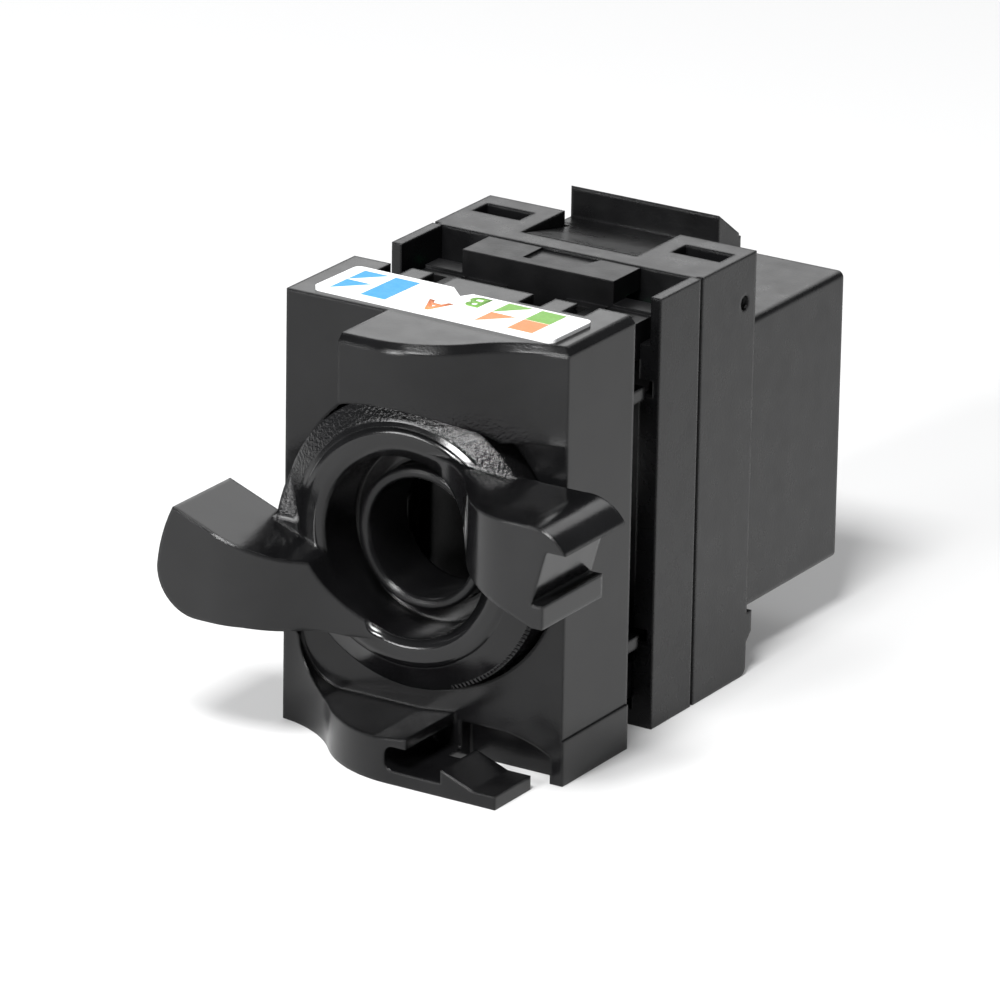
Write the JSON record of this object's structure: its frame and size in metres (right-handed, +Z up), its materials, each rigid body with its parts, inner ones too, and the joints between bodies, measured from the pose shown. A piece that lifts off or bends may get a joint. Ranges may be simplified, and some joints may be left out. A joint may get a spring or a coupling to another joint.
{
  "type": "keystone jack",
  "caption": "Tool-free keystone jack for a network cable: snap-in nose with a modular plug port, sprung latch, wire cap drawn on by a two-winged turning lever.",
  "frame": {"origin": "in the flange's underside, midway between its sides and 2.55 mm in front of its rear face", "axes": "+X to the left as seen from the cable side, +Y towards the cable, +Z up"},
  "size_m": [0.0242, 0.0357, 0.024],
  "materials": {
    "black_housing": "moulded, satin",
    "black_shell": "moulded, satin",
    "black_insert": "moulded",
    "black_cap": "moulded, satin",
    "black_lever": "polished with a spark-eroded collar",
    "green_board": "solder-masked glass fibre",
    "bronze_contact": "tin-plated bronze",
    "gold_contact": "gold-plated bronze",
    "white_label": "printed film"
  },
  "bodies": {
    "jack": {"nose_housing": "black_housing", "rear_shell": "black_shell", "circuit_board": "green_board", "contact_carrier": "black_insert", "terminal_block": "black_insert", "cutting_contact_1": "bronze_contact", "cutting_contact_2": "bronze_contact", "cutting_contact_3": "bronze_contact", "cutting_contact_4": "bronze_contact", "cutting_contact_5": "bronze_contact", "cutting_contact_6": "bronze_contact", "cutting_contact_7": "bronze_contact", "cutting_contact_8": "bronze_contact", "spring_contact_1": "gold_contact", "spring_contact_2": "gold_contact", "spring_contact_3": "gold_contact", "spring_contact_4": "gold_contact", "spring_contact_5": "gold_contact", "spring_contact_6": "gold_contact", "spring_contact_7": "gold_contact", "spring_contact_8": "gold_contact"},
    "cap": {"wire_cap": "black_cap", "wiring_label": "white_label"},
    "lever": {"lever": "black_lever"},
    "latch": {"latch_arm": "black_housing"}
  },
  "joints": [
    {"name": "cap_slide", "type": "slide", "parent": "jack", "child": "cap", "axis": [0, -1, 0], "range_m": [0, 0.0028]},
    {"name": "lever_turn", "type": "hinge", "parent": "cap", "child": "lever", "pos_m": [0, 0.01575, 0.0117], "axis": [0, -1, 0], "range_deg": [0, 70]},
    {"name": "latch_flex", "type": "hinge", "parent": "jack", "child": "latch", "pos_m": [0, 0.0009, 0.0227], "axis": [1, 0, 0], "range_deg": [0, 7], "stiffness_Nm_per_rad": 0.2}
  ],
  "couplings": [
    {"joint": "lever_turn", "follows": "cap_slide", "rad_per_m": 436.29}
  ]
}
